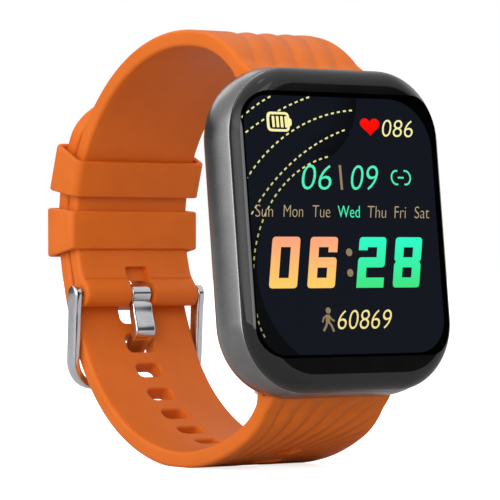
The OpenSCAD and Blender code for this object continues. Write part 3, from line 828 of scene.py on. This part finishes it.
def strap_mesh(name, path, stations, outer, rolls, ribs, tip):
    rings = []
    for s in stations:
        thick = thickness(s, path.length, rolls)
        half = half_width(path.at(s)[0])
        past = path.length - s
        if tip and past < TIP_ROUND:
            half = half - TIP_ROUND + math.sqrt(TIP_ROUND ** 2 - (TIP_ROUND - past) ** 2)
        if tip and past < EDGE_R:
            lost = EDGE_R - math.sqrt(EDGE_R ** 2 - (EDGE_R - past) ** 2)
            thick, half = thick - lost, half - lost
        ring = []
        for x, t in strap_section(half, thick):
            if t > thick - 0.01:
                t -= ribs(x, s)
            elif t < 0.01 - thick and not tip:
                t += 0.2 * math.exp(-((path.length - s - CREASE) / 0.16) ** 2)
            y, z = path.at(s, outer * t)
            ring.append(row(x, y, max(z, -FACE_HEIGHT)))
        rings.append(ring)
    return skin(name, rings)


def roll_stations(first, last, step):
    n = max(1, round((last - first) / step))
    return [first + (last - first) * k / n for k in range(n + 1)]


def round_end(r, steps=8):
    """Distances past a roll's centre, from its tip inwards."""
    return [-r * math.cos(math.radians(90 * k / steps)) for k in range(steps)]


def upper_strap():
    path = UPPER
    fold = path.length - CREASE
    stations = round_end(ROLL_R) + roll_stations(0, fold - 0.6, 0.45)
    stations += roll_stations(fold - 0.5, fold + 0.5, 0.1) + roll_stations(fold + 0.6, path.length, 0.3)
    stations += [path.length - s for s in round_end(ROLL_R)][::-1]
    mesh = strap_mesh("strap", path, stations, 1, lambda s, end: (s, end - s), upper_ribs, False)
    centre = path.legs[0][2]
    mesh = cut(mesh, [lever_slot(1), tongue_pocket()])
    mesh = cut(mesh, [tongue_slot(), rod("bore", BORE_R, -STRAP_W, STRAP_W, centre)])
    mesh = cut(mesh, [rod("bore", BORE_R, -STRAP_W, STRAP_W, BAR)])
    return make_object("buckle_strap", mesh, SILICONE, 50)


def lever_slot(side):
    outline = round_rect((RELEASE + 1.4) / 2, 0.65, 0.4, 6)
    x = LEVER_X - RELEASE / 2
    return skin("slot", [[in_case(x + u, depth, side * BAR_REACH + v) for u, v in outline]
                         for depth in (BAR_DEPTH, BAR_DEPTH + 2 * ROLL_R)])


def tongue_slot():
    """Slot through the roll for the tongue."""
    y, z = BAR
    outline = round_rect(TONGUE_SLOT, 3.0, 0.9, 8)
    return skin("slot", [[row(u, y + d, z - 1.0 + v) for u, v in outline] for d in (-3, 3)])


def tongue_pocket():
    """Shallow pocket above the slot, on the inner face."""
    outline = round_rect(2.1, 1.6, 0.6, 6)
    middle = UPPER.length - 2.6
    return skin("pocket", [[row(u, *UPPER.at(middle + v, t)) for u, v in outline] for t in (-3, -0.2)])


def hole_tool(s, width, length):
    """Rounded slot through the strap, flared where it meets each face."""
    place, turn = LOWER.at(s), math.radians(LOWER.heading(s))
    rings, levels, face = [], [], STRAP_T / 2 + 0.013
    for side, flare in ((-1, 0.2), (1, 0.4)):
        edge = [(side * 2.2, flare * 1.1), (side * face, flare * 0.62)]
        edge += [(side * (face - flare * k / 5), flare * (1 - math.sqrt(1 - (1 - k / 5) ** 2)) * 0.62)
                 for k in range(1, 6)]
        levels += edge if side < 0 else edge[::-1]
    for t, grow in levels:
        outline = round_rect(width / 2 + grow, length / 2 + grow, 1.0 + grow, 8)
        rings.append([row(u, place[0] + v * math.cos(turn) - t * math.sin(turn),
                          place[1] + v * math.sin(turn) + t * math.cos(turn)) for u, v in outline])
    return skin("hole", rings)


def lower_strap():
    path = LOWER
    ends = [path.length - EDGE_R * (1 - math.sin(math.radians(a))) for a in range(10, 91, 10)]
    body = roll_stations(0, path.length - TIP_ROUND, 0.45)
    curve = [path.length - EDGE_R - (TIP_ROUND - EDGE_R) * (1 - math.sin(math.radians(a)))
             for a in range(6, 91, 6)]
    stations = round_end(ROLL_R) + body + curve + ends[:-1] + [path.length - 0.002]
    mesh = strap_mesh("strap", path, stations, -1, lambda s, end: (s,), lower_ribs, True)
    tools = [hole_tool(TONGUE_HOLE + (HOLES_ABOVE - k) * HOLE_PITCH,
                       *(HOLE_SIZE if k <= HOLES_ABOVE else FREE_HOLE)) for k in range(HOLE_COUNT)]
    for tool in tools + [lever_slot(-1)]:
        mesh = cut(mesh, [tool])
    mesh = cut(mesh, [rod("bore", BORE_R, -STRAP_W, STRAP_W, path.legs[0][2])])
    return make_object("hole_strap", mesh, SILICONE, 50)


finish_piece(upper_strap(), "watch", "strap_silicone", "upper_strap")
finish_piece(lower_strap(), "watch", "strap_silicone", "lower_strap")


# ---- Keepers ----

def keeper(name, spec, corner):
    """Band round both layers: wall profile swept round a rounded rectangle."""
    half = STRAP_END_W / 2 + KEEPER_SIDE
    r_in, r_out = spec["inner"], TAIL_R + STRAP_T / 2 + KEEPER_CLEAR
    mid, reach = (r_in + r_out) / 2, (r_out - r_in) / 2
    inner = round_rect(half, reach, 0.55, 10)
    outer = round_rect(half + KEEPER_WALL, reach + KEEPER_WALL, corner, 10)
    long_half, r = spec["length"] / 2, 0.32
    profile = []
    for (k, side), turn in (((1, 1), 0), ((0, 1), 90), ((0, -1), 180), ((1, -1), 270)):
        centre = (k * KEEPER_WALL + (r if k == 0 else -r), side * (long_half - r))
        for i in range(5):
            a = math.radians(turn + 22.5 * i)
            profile.append((centre[0] + r * math.cos(a), centre[1] + r * math.sin(a)))
    rings = []
    for through, along in profile:
        share, ring = through / KEEPER_WALL, []
        a = math.radians(spec["angle"]) + along / BAND_R
        lean = along * math.tan(math.radians(spec["tilt"]))
        for (xi, ri), (xo, ro) in zip(inner, outer):
            x, radius = xi + (xo - xi) * share, mid + ri + (ro - ri) * share - lean
            ring.append(row(x, BAND[0] + radius * math.cos(a), BAND[1] + radius * math.sin(a)))
        rings.append(ring)
    return make_object(name, skin(name, rings, loop=True), SILICONE, 50)


finish_piece(keeper("keeper_fixed", FIXED, 1.0), "watch", "strap_silicone", "fixed_keeper")
finish_piece(keeper("keeper_loose", LOOSE, 1.5), "loose_keeper", "strap_silicone", "loose_keeper")


# ---- Buckle ----

def buckle_point(x, out, down):
    """Point of the buckle's own plane: out to the back, down from its bar."""
    t = math.radians(BUCKLE_TILT)
    return row(x, BAR[0] + out * math.cos(t) + down * math.sin(t),
               BAR[1] - down * math.cos(t) + out * math.sin(t))


def buckle_frame():
    """Rounded bar swept from one eye, round the U, to the other eye."""
    mid, reach, turn_r = (BUCKLE_IN + ARM_W) / 2, BUCKLE_REACH - ARM_W / 2, 4.0
    eye = ARM_D / 2 + 0.2
    line = [(mid, -eye * math.cos(math.radians(a)), 0.0) for a in range(2, 90, 11)]
    line += [(mid, v, 0.0) for v in (0, 0.8, 1.6, 2.4, 3.2, 5, 7, 8.5, reach - turn_r - 0.5)]
    line += [(mid - turn_r + turn_r * math.cos(a), reach - turn_r + turn_r * math.sin(a), a)
             for a in (math.radians(90 * k / 12) for k in range(13))]
    line += [(mid - turn_r - (2 * (mid - turn_r)) * k / 6, reach, math.pi / 2) for k in range(1, 4)]
    rings = []
    for x, v, a in line:
        if v < 0:
            half_d = math.sqrt(max(eye ** 2 - v ** 2, 0.003))
        else:
            half_d = ARM_D / 2 + (eye - ARM_D / 2) * (1 - ease(v / 3.2))
        r = min(0.42, half_d * 0.95)
        rings.append([buckle_point(x + u * math.cos(a), w, v + u * math.sin(a))
                      for u, w in round_rect(ARM_W / 2, half_d, r, 6)])
    mirrored = [[Vector((-p.x, p.y, p.z)) for p in ring] for ring in rings[:-1]]
    mesh = skin("buckle", rings + mirrored[::-1])
    holes = [rod("pin_hole", 0.5, -12.0, 12.0, BAR)]
    return make_object("buckle_loop", cut(mesh, holes), STEEL, 35)


def smooth_line(points, steps=6):
    """Points of a Catmull-Rom curve through (y, z, half thickness) triples."""
    pts = [Vector(p) for p in points]
    out = []
    for i in range(len(pts) - 1):
        p0, p1, p2, p3 = pts[max(i - 1, 0)], pts[i], pts[i + 1], pts[min(i + 2, len(pts) - 1)]
        for k in range(steps):
            t = k / steps
            out.append(0.5 * ((2 * p1) + (p2 - p0) * t + (2 * p0 - 5 * p1 + 4 * p2 - p3) * t ** 2
                              + (3 * p1 - p0 - 3 * p2 + p3) * t ** 3))
    return out + [pts[-1]]


def buckle_tongue():
    """Steel strip curled round the bar, then down, through the strap and over the crossbar."""
    curl_r, curl_half = 1.16, 0.34
    curl = [Vector((curl_r * math.cos(a), curl_r * math.sin(a), curl_half))
            for a in (math.radians(d) for d in range(-100, 231, 10))]
    blade = smooth_line([(-0.75, -1.25, 0.42), (-0.95, -1.75, 0.62), (-1.16, -3.2, 0.72),
                         (-1.84, -5.7, 0.74),
                         (-1.3, -6.5, 0.7), (0.3, -8.2, 0.55), (2.35, -10.6, 0.55), (2.86, -12.0, 0.53),
                         (2.9, -13.2, 0.5), (2.9, -14.3, 0.4)], 6)
    solids = []
    for line in (curl, blade):
        rings = []
        for i, p in enumerate(line):
            a, b = line[max(i - 1, 0)], line[min(i + 1, len(line) - 1)]
            run = Vector((b.x - a.x, b.y - a.y)).normalized()
            half = TONGUE_W / 2 * (1 - 0.12 * ease((i - len(line) + 12) / 12) * (line is blade))
            rings.append([row(u, BAR[0] + p.x - w * run.y, BAR[1] + p.y + w * run.x)
                          for u, w in round_rect(half, p.z, min(0.26, p.z * 0.9), 4)])
        solids.append(skin("strip", rings))
    return make_object("buckle_pin", cut(solids[0], solids[1:], "UNION"), STEEL, 40)


finish_piece(buckle_frame(), "buckle", "buckle_steel", "buckle_frame")
finish_piece(buckle_tongue(), "tongue", "buckle_steel", "buckle_tongue")


# ---- Floor, world and lights ----

def floor():
    """White to the camera, and a mid grey to everything that it lights or is mirrored in."""
    mesh = bpy.data.meshes.new("floor")
    side, n = 3.0, 8
    along = [side * (2 * i / n - 1) for i in range(n + 1)]
    points = [(x, y, 0) for y in along for x in along]
    faces = [(k, k + 1, k + n + 2, k + n + 1) for k in range(n * (n + 1)) if k % (n + 1) < n]
    mesh.from_pydata(points, [], faces)
    obj = bpy.data.objects.new("floor", mesh)
    bpy.context.scene.collection.objects.link(obj)
    m = surface("pale_floor", (250, 250, 250), (248, 248, 249), patch=0.05, rough=(0.6, 0.7), bump=0.0,
                Specular_IOR_Level=0.1, Emission_Color=(1, 1, 1, 1), Emission_Strength=0.78)
    tree = m.node_tree
    mix = tree.nodes.new("ShaderNodeMixShader")
    tree.links.new(node(tree, "LightPath").outputs["Is Camera Ray"], mix.inputs["Fac"])
    tree.links.new(node(tree, "BsdfDiffuse", Color=(0.6, 0.6, 0.6, 1)).outputs["BSDF"], mix.inputs[1])
    tree.links.new(tree.nodes["Principled BSDF"].outputs["BSDF"], mix.inputs[2])
    tree.links.new(mix.outputs["Shader"], tree.nodes["Material Output"].inputs["Surface"])
    mesh.materials.append(m)


floor()

world = bpy.data.worlds.new("studio")
bpy.context.scene.world = world
world.use_nodes = True
WORLD_GAIN = 2.0


def light_world(tree):
    """White behind the watch. What it mirrors is bright to the left, to the far right and above."""
    link = tree.links.new
    background = tree.nodes["Background"]
    way = tree.nodes.new("ShaderNodeSeparateXYZ")
    link(node(tree, "TexCoord").outputs["Generated"], way.inputs[0])

    def greys(socket, *stops):
        spread = node(tree, "MapRange", From_Min=-1.0, From_Max=1.0)
        link(way.outputs[socket], spread.inputs["Value"])
        ramp = tree.nodes.new("ShaderNodeValToRGB")
        elements = ramp.color_ramp.elements
        spots = [elements[0], elements[1]] + [elements.new(0.5) for _ in stops[2:]]
        for stop, (at, grey) in zip(spots, stops):
            stop.position, stop.color = (at + 1) / 2, (grey, grey, grey, 1)
        link(spread.outputs["Result"], ramp.inputs["Fac"])
        return ramp.outputs["Color"]

    across = greys("X", (-1.0, 1.0), (-0.85, 0.85), (-0.75, 0.4), (-0.62, 0.06), (-0.5, 0.01),
                   (0.0, 0.03), (0.75, 0.015), (0.92, 0.4), (1.0, 0.6))
    above = greys("Z", (-1.0, 0.15), (0.0, 0.015), (0.26, 0.01), (0.36, 0.3), (1.0, 0.4))
    both = tree.nodes.new("ShaderNodeMix")
    both.data_type, both.blend_type = "RGBA", "ADD"
    both.inputs["Factor"].default_value = 1.0
    link(across, both.inputs["A"])
    link(above, both.inputs["B"])
    bright = tree.nodes.new("ShaderNodeMix")
    bright.data_type, bright.blend_type = "RGBA", "MULTIPLY"
    bright.inputs["Factor"].default_value = 1.0
    bright.inputs["B"].default_value = (WORLD_GAIN, WORLD_GAIN, WORLD_GAIN, 1)
    link(both.outputs["Result"], bright.inputs["A"])
    seen = tree.nodes.new("ShaderNodeLightPath")
    mix = tree.nodes.new("ShaderNodeMix")
    mix.data_type = "RGBA"
    link(seen.outputs["Is Camera Ray"], mix.inputs["Factor"])
    link(bright.outputs["Result"], mix.inputs["A"])
    mix.inputs["B"].default_value = (1, 1, 1, 1)
    link(mix.outputs["Result"], background.inputs["Color"])
    background.inputs["Strength"].default_value = 1.0


light_world(world.node_tree)


def softbox(name, place, target, width, height, power):
    light = bpy.data.lights.new(name, "AREA")
    light.shape, light.size, light.size_y, light.energy = "RECTANGLE", width, height, power
    obj = bpy.data.objects.new(name, light)
    bpy.context.scene.collection.objects.link(obj)
    aim = Vector(target) - Vector(place)
    obj.matrix_world = Matrix.Translation(place) @ aim.to_track_quat("-Z", "Y").to_matrix().to_4x4()


CENTRE = (0, 0, 0.033)  # Middle of the watch, in metres, as the places, widths and heights are.
softbox("key", (-0.42, -0.42, 0.15), CENTRE, 0.45, 0.5, 1.7)
softbox("front", (0.0, -0.5, 0.5), CENTRE, 0.4, 0.3, 0.3)
softbox("back", (0.1, 0.6, 0.4), CENTRE, 0.4, 0.3, 0.4)

scene = bpy.context.scene
scene.view_settings.view_transform = "Standard"
